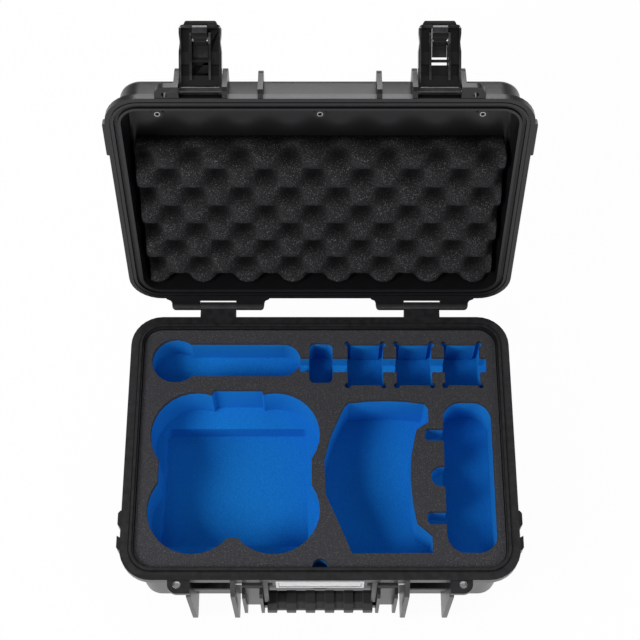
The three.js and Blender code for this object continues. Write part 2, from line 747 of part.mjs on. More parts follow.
function handleGrip() {
  const pitch = (2 * GRIP_HALF_LENGTH) / GRIP_SEGMENTS;
  const core = alongX(gripProfile(GRIP_RELIEF), -GRIP_HALF_LENGTH, GRIP_HALF_LENGTH);
  const ribs = [];
  for (let k = 0; k < GRIP_SEGMENTS; k += 2) {
    const start = -GRIP_HALF_LENGTH + k * pitch;
    ribs.push(alongX(gripProfile(0), start, start + pitch));
  }
  const tunnel = alongX(gripBarProfile(GAP), -GRIP_HALF_LENGTH - 1, GRIP_HALF_LENGTH + 1);
  return join([core, ...ribs]).subtract(tunnel);
}

function handle() {
  const swing = new THREE.Group();
  swing.position.set(0, HANDLE_PIVOT_Y, HANDLE_PIVOT_Z);
  swing.add(named('handle_frame', handleFrame(), blackPlastic));
  swing.add(named('handle_grip', handleGrip(), gripRubber));
  return swing;
}

// ---- lid, drawn closed; the open angle is set on its group ----
function lidBody() {
  const wall = rimLoft([
    [LID_Z, WALL_INSET],
    ...edgeLevels(LID_TOP_Z, WALL_INSET + LID_DRAFT, LID_EDGE, -1, 4).reverse(),
  ]);
  const flange = rimLoft([
    [LID_Z, 0],
    [LID_Z + LID_FLANGE - FLANGE_CHAMFER, 0],
    [LID_Z + LID_FLANGE, FLANGE_CHAMFER],
  ]);
  return wall.add(flange);
}

function lidFinProfile(reach) {
  const front = FRONT_Y - reach;
  const root = FRONT_Y + LID_BAND + LID_DRAFT;
  const low = LID_Z + RIM_GAP;
  const high = LID_Z + LID_FIN_HEIGHT;
  return polygon([
    [root, low], [front + 3, low], [front, low + 3], [front, high - 11],
    [front + 2, high - 5], [front + 6, high - 1], [front + 10, high], [root, high],
  ]);
}

function lidHingeBlock(side) {
  const x = side * STATION_X;
  const rootHalf = LID_HINGE_ROOT / 2;
  const half = LID_KNUCKLE_WIDTH / 2;
  const end = HINGE_Y + KNUCKLE_RADIUS;
  const profile = polygon([
    [BACK_Y - 2, LID_Z], [BACK_Y - 2, LID_Z + LID_FLANGE - 1], [BACK_Y + 4, LID_Z + LID_FLANGE - 1],
    [HINGE_Y, HINGE_Z + KNUCKLE_RADIUS - 0.1], [HINGE_Y, LID_Z],
  ]);
  const plan = polygon([
    [x - rootHalf, BACK_Y - 2], [x - rootHalf, BACK_Y + 1.5], [x - half, BACK_Y + 4.5],
    [x - half + 2, end - 6], [x - half + 7, end + 1], [x + half - 7, end + 1],
    [x + half - 2, end - 6], [x + half, BACK_Y + 4.5], [x + rootHalf, BACK_Y + 1.5],
    [x + rootHalf, BACK_Y - 2],
  ]);
  const block = alongX(profile, x - rootHalf, x + rootHalf)
    .add(rodAlongX(KNUCKLE_RADIUS, x - half, x + half, HINGE_Y, HINGE_Z))
    .intersect(alongZ(plan, HINGE_Z - 20, HINGE_Z + 20));
  const window = BASE_KNUCKLE_WIDTH / 2 + GAP;
  const opening = box(x - window, x + window, BACK_Y + 4.4, end + 5, HINGE_Z - 15, HINGE_Z + 15);
  return block.subtract(opening);
}

function lidPad(side) {
  const edge = side * (RIM_WIDTH / 2 - 2);
  const tip = side * (RIM_WIDTH / 2 + LID_PAD_PROUD);
  const outline = polygon([
    [edge, LUG_BACK_Y], [tip - side, LUG_BACK_Y], [tip, LUG_BACK_Y - 1.5],
    [tip, LUG_FRONT_Y + 1.5], [tip - side, LUG_FRONT_Y], [edge, LUG_FRONT_Y],
  ]);
  return alongZ(outline, LID_Z, LID_Z + LID_PAD_HEIGHT);
}

function lidFittings(side) {
  const half = FIN_THICKNESS / 2;
  const inner = side * (STATION_X - FIN_OFFSET);
  const outer = side * (STATION_X + FIN_OFFSET);
  const rib = side * INNER_FIN_X;
  return [
    alongX(lidFinProfile(LID_FIN_REACH), inner - half, inner + half),
    alongX(lidFinProfile(LID_FIN_REACH), outer - half, outer + half),
    alongX(lidFinProfile(LID_FIN_REACH - 3), rib - half, rib + half),
    alongZ(padlockEarOutline(side), LID_Z + RIM_GAP, LID_Z + RIM_GAP + EAR_THICKNESS),
    lidHingeBlock(side),
    lidPad(side),
  ];
}

function lidBores(side) {
  const x = side * STATION_X;
  const earY = FRONT_Y - EAR_HOLE_FORWARD;
  return [
    rodAlongX(HINGE_PIN_RADIUS + GAP, x - HINGE_PIN_LENGTH / 2 - GAP,
      x + HINGE_PIN_LENGTH / 2 + GAP, HINGE_Y, HINGE_Z),
    rodAlongX(ROD_RADIUS + GAP, x - LATCH_WIDTH, x + LATCH_WIDTH, ROD_Y, ROD_Z),
    rodAlongZ(PADLOCK_HOLE_RADIUS, side * EAR_X, earY, LID_Z - 5, LID_Z + 20),
  ];
}

function insertPlaces() {
  const y = FRONT_Y + INSERT_FROM_FRONT;
  return [-INSERT_X, 0, INSERT_X].map((x) => [x, y]);
}

function insertBoss([x, y]) {
  const radius = INSERT_RADIUS + GAP + INSERT_BOSS_WALL;
  return rodAlongZ(radius, x, y, CEILING_Z - INSERT_BOSS_HEIGHT, CEILING_Z + 1);
}

function insertHole([x, y]) {
  const low = CEILING_Z - INSERT_BOSS_HEIGHT;
  return rodAlongZ(INSERT_RADIUS + GAP, x, y, low - 1, low - INSERT_PROUD + INSERT_LENGTH + GAP);
}

function lidInsert([x, y]) {
  const low = CEILING_Z - INSERT_BOSS_HEIGHT - INSERT_PROUD;
  return ringAlongZ(INSERT_BORE, INSERT_RADIUS, x, y, low, low + INSERT_LENGTH);
}

function lidShell() {
  const cavity = rimLoft([
    [LID_Z - 5, LID_BAND],
    ...edgeLevels(CEILING_Z, LID_BAND + LID_DRAFT, LID_EDGE - LID_TOP, -1, 2).reverse(),
  ]);
  const grooveOutside = TONGUE_INSET - TONGUE_MOAT;
  const grooveInside = TONGUE_INSET + TONGUE_WIDTH + 0.6;
  const sealGroove = rimRing(grooveOutside, grooveInside, LID_Z - 1, LID_Z + SEAL_GROOVE_DEPTH);
  const dripGroove = rimRing(DRIP_INSET, DRIP_INSET + DRIP_WIDTH, LID_Z - 1, LID_Z + DRIP_DEPTH);
  const whole = join([lidBody(), ...SIDES.flatMap(lidFittings)]);
  const hollow = cut(whole, [cavity, sealGroove, dripGroove, ...SIDES.flatMap(lidBores)]);
  const bosses = join([hollow, ...insertPlaces().map(insertBoss)]);
  return cut(bosses, insertPlaces().map(insertHole));
}

function lidGasket() {
  const top = LID_Z + SEAL_GROOVE_DEPTH - GAP;
  const outside = TONGUE_INSET - TONGUE_MOAT + GAP;
  const inside = TONGUE_INSET + TONGUE_WIDTH + 0.6 - GAP;
  return rimRing(outside, inside, top - GASKET_THICKNESS, top);
}

function lidFoam() {
  const back = BACK_Y - LID_CAVITY_INSET - GAP;
  const front = FRONT_Y + INSERT_FROM_FRONT + LID_FOAM_FROM_INSERTS;
  const half = RIM_WIDTH / 2 - LID_CAVITY_INSET - LID_FOAM_SIDE_GAP;
  const corner = RIM_CORNER - LID_CAVITY_INSET + LID_FOAM_ROUNDING;
  const outline = roundedRectangle(-half, half, front, back, corner);
  const top = CEILING_Z - GAP;
  return alongZ(outline, top - LID_FOAM_THICKNESS, top);
}

// ---- latch, drawn closed about its rod: -Y outwards, -Z down the front of the case ----
function latchOutline() {
  const half = LATCH_WIDTH / 2;
  const tip = -LATCH_LENGTH;
  const right = [
    [half, LATCH_HUB_RADIUS], [half, -36], [half - 1.1, -45], [half - 0.2, -53],
    [half - 0.2, tip + 7.5], [half - 1.6, tip + 5], [half - 4, tip + 3.8], [half - 5.4, tip + 0.8],
    [half - 6.6, tip],
  ];
  const left = right.map(([x, z]) => [-x, z]).reverse();
  return polygon([...right, ...left]);
}

function latchSideProfile() {
  const out = -LATCH_OUTSIDE;
  const tip = -LATCH_LENGTH;
  return polygon([
    [out + 2, LATCH_HUB_RADIUS], [2, LATCH_HUB_RADIUS], [3, 0], [3, -14], [2.2, -34], [1, -40],
    [2.2, -50], [2.2, tip + 7.5], [-1, tip + 4], [out + LATCH_SKIN, tip + 3.5],
    [out, tip + 3.5], [out, 1],
  ]);
}

function latchSkinProfile() {
  const out = -LATCH_OUTSIDE;
  const tip = -LATCH_LENGTH;
  return polygon([
    [out + 2, LATCH_HUB_RADIUS], [out + 2 + LATCH_SKIN, LATCH_HUB_RADIUS],
    [out + LATCH_SKIN, -1], [out + LATCH_SKIN, tip + 5.5], [out + LATCH_SKIN + 1.5, tip + 3],
    [out + LATCH_SKIN + 1.5, tip], [out + 1, tip], [out, tip + 4.5], [out, 1],
  ]);
}

function latchBody() {
  const half = LATCH_WIDTH / 2;
  const skinIn = -LATCH_OUTSIDE + LATCH_SKIN;
  const railEnd = LATCH_RAIL_X + LATCH_RAIL_WIDTH;
  const window = ROCKER_HALF_WIDTH + GAP;
  const pocketEdge = half - 2.3;
  const railProfile = polygon([
    [skinIn - 1, -9], [2.2, -9], [2.2, -26], [0.6, -31], [0.6, -42], [1.6, -44], [1.6, -51],
    [0, -54], [skinIn - 1, -56],
  ]);
  const parts = [
    alongX(latchSkinProfile(), -half, half),
    rodAlongX(LATCH_HUB_RADIUS, -half, half, 0, 0),
    box(-pocketEdge, pocketEdge, -3.4, -1.4, -13.5, -1),
    box(-LATCH_RAIL_X - 1, LATCH_RAIL_X + 1, skinIn - 1, -3, -28.6, -26.1),
  ];
  for (const side of SIDES) {
    parts.push(alongX(latchSideProfile(), side * pocketEdge, side * half));
    parts.push(alongX(railProfile, side * LATCH_RAIL_X, side * railEnd));
    parts.push(box(side * railEnd, side * pocketEdge, -4, -2, -36, -24));
    parts.push(box(side * window, side * half, skinIn - 1, 0.8, -NOSE_END - 1.1, -NOSE_END + 2.3));
  }
  const pinY = -ROCKER_PIN_INSIDE;
  return cut(join(parts).intersect(alongY(latchOutline(), -20, 20)), [
    rodAlongX(ROD_RADIUS + GAP, -half - 1, half + 1, 0, 0),
    box(-window, window, -20, skinIn + 1, -NOSE_END - 0.5, -29),
    box(-window, window, -20, skinIn + 1, -26.1, -23.6),
    rodAlongX(ROCKER_PIN_RADIUS + GAP, -railEnd - 1, railEnd + 1, pinY, -ROCKER_PIN_DROP),
  ]);
}

function latchRocker() {
  const half = ROCKER_HALF_WIDTH;
  const out = -LATCH_OUTSIDE;
  const low = -NOSE_END;
  const pinY = -ROCKER_PIN_INSIDE;
  const profile = polygon([
    [out, -ROCKER_TOP_DROP], [out, low], [NOSE_REACH - 2, low], [NOSE_REACH, low + 2],
    [NOSE_REACH, -NOSE_DROP], [1, -NOSE_DROP], [1, -ROCKER_PIN_DROP + 2],
    [-3, -ROCKER_PIN_DROP + 4], [out + LATCH_SKIN + 0.6, -ROCKER_PIN_DROP + 5],
    [out + LATCH_SKIN + 0.6, -ROCKER_TOP_DROP],
  ]);
  const hubEdge = half - 1;
  const sideCut = rodAlongX(ROCKER_PIN_RADIUS + 2, hubEdge, half + 1, pinY, -ROCKER_PIN_DROP);
  const otherCut = rodAlongX(ROCKER_PIN_RADIUS + 2, -hubEdge, -half - 1, pinY, -ROCKER_PIN_DROP);
  const bore = rodAlongX(ROCKER_PIN_RADIUS + GAP, -half - 1, half + 1, pinY, -ROCKER_PIN_DROP);
  return cut(alongX(profile, -half, half), [sideCut, otherCut, bore]);
}

// Two-turn torsion coil round the rocker pin, beside the rocker.
function latchSpring() {
  const inner = ROCKER_PIN_RADIUS + GAP;
  const outer = ROCKER_PIN_RADIUS + 1.6;
  const start = ROCKER_HALF_WIDTH - 0.8;
  const end = LATCH_RAIL_X - 0.2;
  const middle = (start + end) / 2;
  const section = [
    [inner, start], [outer, start + 0.2], [outer, middle - 0.2], [outer - 0.4, middle],
    [outer, middle + 0.2], [outer, end - 0.2], [inner, end], [inner, start],
  ];
  const points = section.map(([r, h]) => new THREE.Vector2(r, h));
  const coil = new THREE.LatheGeometry(points, sidesFor(outer)).rotateZ(-Math.PI / 2);
  return solidOf(coil.translate(0, -ROCKER_PIN_INSIDE, -ROCKER_PIN_DROP));
}

function latchPin() {
  const half = LATCH_RAIL_X + LATCH_RAIL_WIDTH;
  return rodAlongX(ROCKER_PIN_RADIUS, -half, half, -ROCKER_PIN_INSIDE, -ROCKER_PIN_DROP);
}

function latchRod() {
  const half = FIN_OFFSET + FIN_THICKNESS / 2;
  return rodAlongX(ROD_RADIUS, -half, half, 0, 0);
}

function latch(side) {
  const label = SIDE_NAMES[side];
  const rodFrame = new THREE.Group();
  rodFrame.position.set(side * STATION_X, ROD_Y, ROD_Z);
  rodFrame.add(named(`latch_rod_${label}`, latchRod(), steel));
  const swing = new THREE.Group();
  swing.rotation.x = THREE.MathUtils.degToRad(-LATCH_OPEN_ANGLE);
  swing.add(named(`latch_body_${label}`, latchBody(), blackPlastic));
  swing.add(named(`latch_rocker_${label}`, latchRocker(), blackPlastic));
  swing.add(named(`latch_spring_${label}`, latchSpring(), steel));
  swing.add(named(`latch_pin_${label}`, latchPin(), steel));
  rodFrame.add(swing);
  return rodFrame;
}

function lid() {
  const swing = new THREE.Group();
  swing.position.set(0, HINGE_Y, HINGE_Z);
  swing.rotation.x = THREE.MathUtils.degToRad(-LID_OPEN_ANGLE);
  const closed = new THREE.Group();
  closed.position.set(0, -HINGE_Y, -HINGE_Z);
  closed.add(named('lid_shell', lidShell(), blackPlastic));
  closed.add(named('lid_gasket', lidGasket(), gasketRubber));
  closed.add(named('lid_foam', lidFoam(), charcoalFoam));
  insertPlaces().forEach((place, k) => {
    const label = ['left', 'middle', 'right'][k];
    closed.add(named(`lid_insert_${label}`, lidInsert(place), steel));
  });
  for (const side of SIDES) closed.add(latch(side));
  swing.add(closed);
  return swing;
}

// ---- assembly ----
function assembleCase() {
  const whole = new THREE.Group();
  whole.name = 'carrying_case';
  const pockets = allPockets();
  whole.add(named('base_shell', baseShell(), blackPlastic));
  whole.add(named('base_foam', foamBlock(pockets), blueFoam));
  whole.add(named('base_foam_sheet', foamSheet(pockets), greyFoam));
  whole.add(named('nameplate_frame', nameplateFrame(), steel));
  whole.add(named('nameplate', nameplate(), silverPlate));
  whole.add(named('valve_housing', valveHousing(), blackPlastic));
  whole.add(named('valve_cap', valveCap(), blackPlastic));
  for (const side of SIDES) {
    const label = SIDE_NAMES[side];
    whole.add(named(`ear_bush_${label}`, earBush(side), steel));
    whole.add(named(`hinge_pin_${label}`, hingePin(side), steel));
    whole.add(named(`handle_pin_${label}`, handlePin(side), steel));
  }
  whole.add(handle());
  whole.add(lid());
  return whole;
}

export default assembleCase();
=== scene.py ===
"""An open equipment case: moulded shells, draw latches, cut foam and convoluted lid foam.

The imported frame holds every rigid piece. This script dresses those pieces, models the
three foam parts that stand for the frame's plain solids, and sets up a plain studio.
"""

from __future__ import annotations

import json
import logging
import math
from dataclasses import dataclass
from enum import Enum

import bmesh
import bpy
from mathutils import Matrix, Vector


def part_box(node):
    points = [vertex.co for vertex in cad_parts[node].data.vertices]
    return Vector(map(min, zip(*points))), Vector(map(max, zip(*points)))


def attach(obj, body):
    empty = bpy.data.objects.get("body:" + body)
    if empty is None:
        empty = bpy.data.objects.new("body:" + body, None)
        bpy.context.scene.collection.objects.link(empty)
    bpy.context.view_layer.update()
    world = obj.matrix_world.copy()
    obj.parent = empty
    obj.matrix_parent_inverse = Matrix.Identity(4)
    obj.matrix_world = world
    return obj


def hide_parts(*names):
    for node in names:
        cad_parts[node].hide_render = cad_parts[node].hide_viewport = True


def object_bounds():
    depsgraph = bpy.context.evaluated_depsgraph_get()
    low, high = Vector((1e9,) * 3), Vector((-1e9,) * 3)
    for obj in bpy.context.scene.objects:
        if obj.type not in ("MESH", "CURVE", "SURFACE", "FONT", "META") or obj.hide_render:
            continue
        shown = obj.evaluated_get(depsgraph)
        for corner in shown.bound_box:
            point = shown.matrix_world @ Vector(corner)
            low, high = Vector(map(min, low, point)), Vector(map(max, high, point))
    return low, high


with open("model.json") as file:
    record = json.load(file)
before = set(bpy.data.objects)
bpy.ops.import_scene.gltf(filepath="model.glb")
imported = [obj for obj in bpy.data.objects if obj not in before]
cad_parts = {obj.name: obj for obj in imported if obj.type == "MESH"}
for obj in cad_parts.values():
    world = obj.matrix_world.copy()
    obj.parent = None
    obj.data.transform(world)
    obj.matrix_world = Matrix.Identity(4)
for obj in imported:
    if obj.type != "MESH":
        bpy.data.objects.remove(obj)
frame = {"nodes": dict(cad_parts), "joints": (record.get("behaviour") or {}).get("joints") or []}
CAD_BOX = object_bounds()

LOG = logging.getLogger("equipment_case")
MM = 0.001
HOLLOW = "hollow"
MERGE_DISTANCE = 0.02 * MM
FLAT_ANGLE = math.radians(0.4)
SMOOTH_BELOW_DEGREES = 32.0
RIM_OVER_FOAM = 4.0 * MM
FLOOR_DROP = 0.2 * MM
FLOOR_DIRECT_GLOW = 0.965
FLOOR_MIRRORED_GLOW = 0.8

Colour = tuple[float, float, float]


class Body(str, Enum):
    """Names of the frame's moving bodies that carry modelled pieces."""

    BASE = "base"
    LID = "lid"


class Coat(Enum):
    """How a rigid finish reflects, before its grain."""

    SATIN = "satin"
    RUBBER = "rubber"
    METAL = "metal"


# ---------------------------------------------------------------------------
# Node helpers
# ---------------------------------------------------------------------------


def add_node(tree: bpy.types.NodeTree, kind: str, **settings: object) -> bpy.types.Node:
    """Adds a node and sets its properties.

    Args:
        tree: The tree that receives the node.
        kind: The node's type name.
        **settings: Property values, by name.

    Returns:
        The new node.
    """
    node = tree.nodes.new(kind)
    for name, value in settings.items():
        setattr(node, name, value)
    return node


def feed(tree: bpy.types.NodeTree, target: bpy.types.NodeSocket, source: object) -> None:
    """Links a socket to an input, or sets the input's plain value.

    Args:
        tree: The tree that holds both ends.
        target: The input socket.
        source: An output socket, or a number or tuple.
    """
    if isinstance(source, bpy.types.NodeSocket):
        tree.links.new(source, target)
    else:
        target.default_value = source


def maths(tree: bpy.types.NodeTree, operation: str, *operands: object) -> bpy.types.NodeSocket:
    """Adds a Math node and returns its value.

    Args:
        tree: The shader or geometry tree.
        operation: The Math node's operation name.
        *operands: Sockets or numbers, in order.

    Returns:
        The node's value socket.
    """
    node = add_node(tree, "ShaderNodeMath", operation=operation)
    for socket, operand in zip(node.inputs, operands):
        feed(tree, socket, operand)
    return node.outputs[0]


def ramp(
    tree: bpy.types.NodeTree,
    value: bpy.types.NodeSocket,
    low: float,
    high: float,
    start: object = 0.0,
    end: object = 1.0,
) -> bpy.types.NodeSocket:
    """Maps a value from one range to another, held at its ends.

    Args:
        tree: The tree that receives the node.
        value: The value to map.
        low: Where the first end is reached.
        high: Where the second end is reached.
        start: The result at the first end.
        end: The result at the second end.

    Returns:
        The mapped value.
    """
    node = add_node(tree, "ShaderNodeMapRange", clamp=True)
    feed(tree, node.inputs["Value"], value)
    feed(tree, node.inputs["From Min"], low)
    feed(tree, node.inputs["From Max"], high)
    feed(tree, node.inputs["To Min"], start)
    feed(tree, node.inputs["To Max"], end)
    return node.outputs["Result"]


def blend_colours(
    tree: bpy.types.NodeTree, factor: object, first: object, second: object
) -> bpy.types.NodeSocket:
    """Mixes two colours.

    Args:
        tree: The tree that receives the node.
        factor: The share of the second colour.
        first: A colour socket or a four-number colour.
        second: A colour socket or a four-number colour.

    Returns:
        The mixed colour.
    """
    node = add_node(tree, "ShaderNodeMix", data_type="RGBA")
    feed(tree, node.inputs[0], factor)
    feed(tree, node.inputs[6], first)
    feed(tree, node.inputs[7], second)
    return node.outputs[2]


def opaque(colour: Colour) -> tuple[float, float, float, float]:
    """Returns a colour with full alpha."""
    return (*colour, 1.0)


def new_group(name: str, inputs: dict[str, float], outputs: dict[str, str]) -> bpy.types.NodeTree:
    """Makes an empty shader group with its sockets.

    Args:
        name: The group's name.
        inputs: Float inputs and their defaults; a tuple default makes a colour input.
        outputs: Outputs and their socket types.

    Returns:
        The group's tree.
    """
    tree = bpy.data.node_groups.new(name, "ShaderNodeTree")
    for label, value in inputs.items():
        kind = "NodeSocketColor" if isinstance(value, tuple) else "NodeSocketFloat"
        socket = tree.interface.new_socket(name=label, in_out="INPUT", socket_type=kind)
        socket.default_value = value
    for label, kind in outputs.items():
        tree.interface.new_socket(name=label, in_out="OUTPUT", socket_type=kind)
    tree.nodes.new("NodeGroupInput")
    tree.nodes.new("NodeGroupOutput")
    return tree


def group_ends(tree: bpy.types.NodeTree) -> tuple[bpy.types.Node, bpy.types.Node]:
    """Returns a group's input and output nodes."""
    return tree.nodes["Group Input"], tree.nodes["Group Output"]


# ---------------------------------------------------------------------------
# Shared surface effects
# ---------------------------------------------------------------------------


def build_moulded_grain() -> bpy.types.NodeTree:
    """Builds the fine spark-eroded grain of moulded plastic.

    Returns:
        A group with inputs Grain Scale, Grain Depth, Roughness and Mottle, and outputs
        Roughness, Normal and Tint.
    """
    tree = new_group(
        "moulded_grain",
        {"Grain Scale": 900.0, "Grain Depth": 0.1, "Roughness": 0.45, "Mottle": 0.08},
        {
            "Roughness": "NodeSocketFloat",
            "Normal": "NodeSocketVector",
            "Tint": "NodeSocketFloat",
        },
    )
    begin, end = group_ends(tree)
    place = add_node(tree, "ShaderNodeTexCoord").outputs["Object"]
    grain = add_node(tree, "ShaderNodeTexNoise")
    feed(tree, grain.inputs["Vector"], place)
    feed(tree, grain.inputs["Scale"], begin.outputs["Grain Scale"])
    feed(tree, grain.inputs["Detail"], 3.0)
    bump = add_node(tree, "ShaderNodeBump")
    feed(tree, bump.inputs["Distance"], 0.0004)
    feed(tree, bump.inputs["Strength"], begin.outputs["Grain Depth"])
    feed(tree, bump.inputs["Height"], grain.outputs["Fac"])
    cloud = add_node(tree, "ShaderNodeTexNoise")
    feed(tree, cloud.inputs["Vector"], place)
    feed(tree, cloud.inputs["Scale"], 26.0)
    feed(tree, cloud.inputs["Detail"], 4.0)
    swing = maths(tree, "SUBTRACT", cloud.outputs["Fac"], 0.5)
    mottle = maths(tree, "MULTIPLY", swing, begin.outputs["Mottle"])
    feed(tree, end.inputs["Roughness"], maths(tree, "ADD", begin.outputs["Roughness"], mottle))
    feed(tree, end.inputs["Normal"], bump.outputs["Normal"])
    feed(tree, end.inputs["Tint"], ramp(tree, grain.outputs["Fac"], 0.35, 0.65))
    return tree


def build_painted_edge_highlight() -> bpy.types.NodeTree:
    """Builds the painted highlight along convex edges, broken into patches by noise.

    Returns:
        A group with inputs Low and High, and an output Mask.
    """
    tree = new_group("painted_edge_highlight", {"Low": 0.53, "High": 0.6}, {"Mask": "NodeSocketFloat"})
    begin, end = group_ends(tree)
    geometry = add_node(tree, "ShaderNodeNewGeometry")
    breakup = add_node(tree, "ShaderNodeTexNoise")
    feed(tree, breakup.inputs["Vector"], add_node(tree, "ShaderNodeTexCoord").outputs["Object"])
    feed(tree, breakup.inputs["Scale"], 140.0)
    mask = ramp(
        tree, geometry.outputs["Pointiness"], begin.outputs["Low"], begin.outputs["High"]
    )
    patchy = ramp(tree, breakup.outputs["Fac"], 0.35, 0.6, 0.35, 1.0)
    feed(tree, end.inputs["Mask"], maths(tree, "MULTIPLY", mask, patchy))
    return tree


def build_foam_cells() -> bpy.types.NodeTree:
    """Builds the cell structure of expanded foam, with cut cells that catch the light.

    Returns:
        A group with inputs Cell Scale, Depth, Sparkle, Dark and Light, and outputs
        Color and Normal.
    """
    tree = new_group(
        "foam_cells",
        {
            "Cell Scale": 700.0,
            "Depth": 0.6,
            "Sparkle": 0.2,
            "Sparkle Scale": 520.0,
            "Dark": (0.02, 0.02, 0.02, 1.0),
            "Light": (0.08, 0.08, 0.08, 1.0),
            "Glint": (0.4, 0.4, 0.4, 1.0),
        },
        {"Color": "NodeSocketColor", "Normal": "NodeSocketVector"},
    )
    begin, end = group_ends(tree)
    place = add_node(tree, "ShaderNodeTexCoord").outputs["Object"]
    cells = add_node(tree, "ShaderNodeTexVoronoi", feature="F1")
    feed(tree, cells.inputs["Vector"], place)
    feed(tree, cells.inputs["Scale"], begin.outputs["Cell Scale"])
    noise = add_node(tree, "ShaderNodeTexNoise")
    feed(tree, noise.inputs["Vector"], place)
    feed(tree, noise.inputs["Scale"], begin.outputs["Cell Scale"])
    feed(tree, noise.inputs["Detail"], 2.0)
    height = maths(tree, "ADD", cells.outputs["Distance"], noise.outputs["Fac"])
    bump = add_node(tree, "ShaderNodeBump")
    feed(tree, bump.inputs["Distance"], 0.0006)
    feed(tree, bump.inputs["Strength"], begin.outputs["Depth"])
    feed(tree, bump.inputs["Height"], height)
    base = blend_colours(
        tree,
        ramp(tree, noise.outputs["Fac"], 0.34, 0.66),
        begin.outputs["Dark"],
        begin.outputs["Light"],
    )
    flecks = add_node(tree, "ShaderNodeTexVoronoi", feature="F1")
    feed(tree, flecks.inputs["Vector"], place)
    feed(tree, flecks.inputs["Scale"], begin.outputs["Sparkle Scale"])
    chance = add_node(tree, "ShaderNodeSeparateColor")
    feed(tree, chance.inputs["Color"], flecks.outputs["Color"])
    threshold = maths(tree, "SUBTRACT", 1.0, begin.outputs["Sparkle"])
    lit = maths(tree, "GREATER_THAN", chance.outputs["Red"], threshold)
    core = maths(tree, "LESS_THAN", flecks.outputs["Distance"], 0.38)
    strength = maths(tree, "MULTIPLY", chance.outputs["Green"], maths(tree, "MULTIPLY", lit, core))
    colour = blend_colours(tree, strength, base, begin.outputs["Glint"])
    feed(tree, end.inputs["Color"], colour)
    feed(tree, end.inputs["Normal"], bump.outputs["Normal"])
    return tree


GROUPS: dict[str, bpy.types.NodeTree] = {}


def shared_group(name: str) -> bpy.types.NodeTree:
    """Returns a shared effect, built the first time it is asked for."""
    makers = {
        "moulded_grain": build_moulded_grain,
        "painted_edge_highlight": build_painted_edge_highlight,
        "foam_cells": build_foam_cells,
    }
    if name not in GROUPS:
        GROUPS[name] = makers[name]()
    return GROUPS[name]


def place_group(tree: bpy.types.NodeTree, name: str, **values: object) -> bpy.types.Node:
    """Places a shared effect in a material.

    Args:
        tree: The material's tree.
        name: The effect's name.
        **values: Input values, by socket name with underscores for spaces.

    Returns:
        The group node.
    """
    node = add_node(tree, "ShaderNodeGroup", node_tree=shared_group(name))
    for label, value in values.items():
        node.inputs[label.replace("_", " ")].default_value = value
    return node


# ---------------------------------------------------------------------------
# Finishes
# ---------------------------------------------------------------------------


def new_material(name: str) -> tuple[bpy.types.Material, bpy.types.Node]:
    """Makes a node material and returns it with its Principled shader."""
    material = bpy.data.materials.new(name)
    material.use_nodes = True
    return material, material.node_tree.nodes["Principled BSDF"]


@dataclass(frozen=True)
class RigidFinish:
    """A hard surface: moulded plastic, rubber overmould or metal."""

    name: str
    colour: Colour
    edge_highlight_colour: Colour
    roughness: float
    coat: Coat = Coat.SATIN
    grain_scale: float = 1100.0
    grain_depth: float = 0.12
    mottle: float = 0.1
    specular: float = 0.5

    def build(self) -> bpy.types.Material:
        """Builds the material.

        Returns:
            The finished material.
        """
        material, shader = new_material(self.name)
        tree = material.node_tree
        grain = place_group(
            tree,
            "moulded_grain",
            Grain_Scale=self.grain_scale,
            Grain_Depth=self.grain_depth,
            Roughness=self.roughness,
            Mottle=self.mottle,
        )
        # painted highlight: convex edges are blended towards the paler edge colour, standing in
        # for the light they catch
        edge_highlight = place_group(tree, "painted_edge_highlight")
        dark = tuple(channel * 0.82 for channel in self.colour)
        ground = blend_colours(tree, grain.outputs["Tint"], opaque(dark), opaque(self.colour))
        colour = blend_colours(tree, edge_highlight.outputs["Mask"], ground, opaque(self.edge_highlight_colour))
        feed(tree, shader.inputs["Base Color"], colour)
        feed(tree, shader.inputs["Roughness"], grain.outputs["Roughness"])
        feed(tree, shader.inputs["Normal"], grain.outputs["Normal"])
        shader.inputs["Specular IOR Level"].default_value = self.specular
        shader.inputs["Metallic"].default_value = 1.0 if self.coat is Coat.METAL else 0.0
        if self.coat is Coat.RUBBER:
            shader.inputs["Sheen Weight"].default_value = 0.08
            shader.inputs["Sheen Roughness"].default_value = 0.6
        return material


@dataclass(frozen=True)
class FoamFinish:
    """An expanded foam with visible cells."""

    name: str
    dark: Colour
    light: Colour
    glint: Colour
    cell_scale: float
    sparkle: float
    sparkle_scale: float
    depth: float
    roughness: float = 0.95
    painted_hollow_shade: float = 0.0

    def build(self) -> bpy.types.Material:
        """Builds the material.

        Returns:
            The finished material.
        """
        material, shader = new_material(self.name)
        tree = material.node_tree
        cells = place_group(
            tree,
            "foam_cells",
            Cell_Scale=self.cell_scale,
            Depth=self.depth,
            Sparkle=self.sparkle,
            Sparkle_Scale=self.sparkle_scale,
            Dark=opaque(self.dark),
            Light=opaque(self.light),
            Glint=opaque(self.glint),
        )
        colour = cells.outputs["Color"]
        # painted shade: the foam is darkened in its hollows, by their stored depth, where less
        # light reaches
        if self.painted_hollow_shade:
            depth = add_node(tree, "ShaderNodeAttribute", attribute_name=HOLLOW)
            shade = ramp(tree, depth.outputs["Fac"], 0.45, 0.95, 0.0, self.painted_hollow_shade)
            colour = blend_colours(tree, shade, colour, opaque((0.002, 0.002, 0.002)))
        feed(tree, shader.inputs["Base Color"], colour)
        feed(tree, shader.inputs["Normal"], cells.outputs["Normal"])
        shader.inputs["Roughness"].default_value = self.roughness
        shader.inputs["Specular IOR Level"].default_value = 0.12
        return material


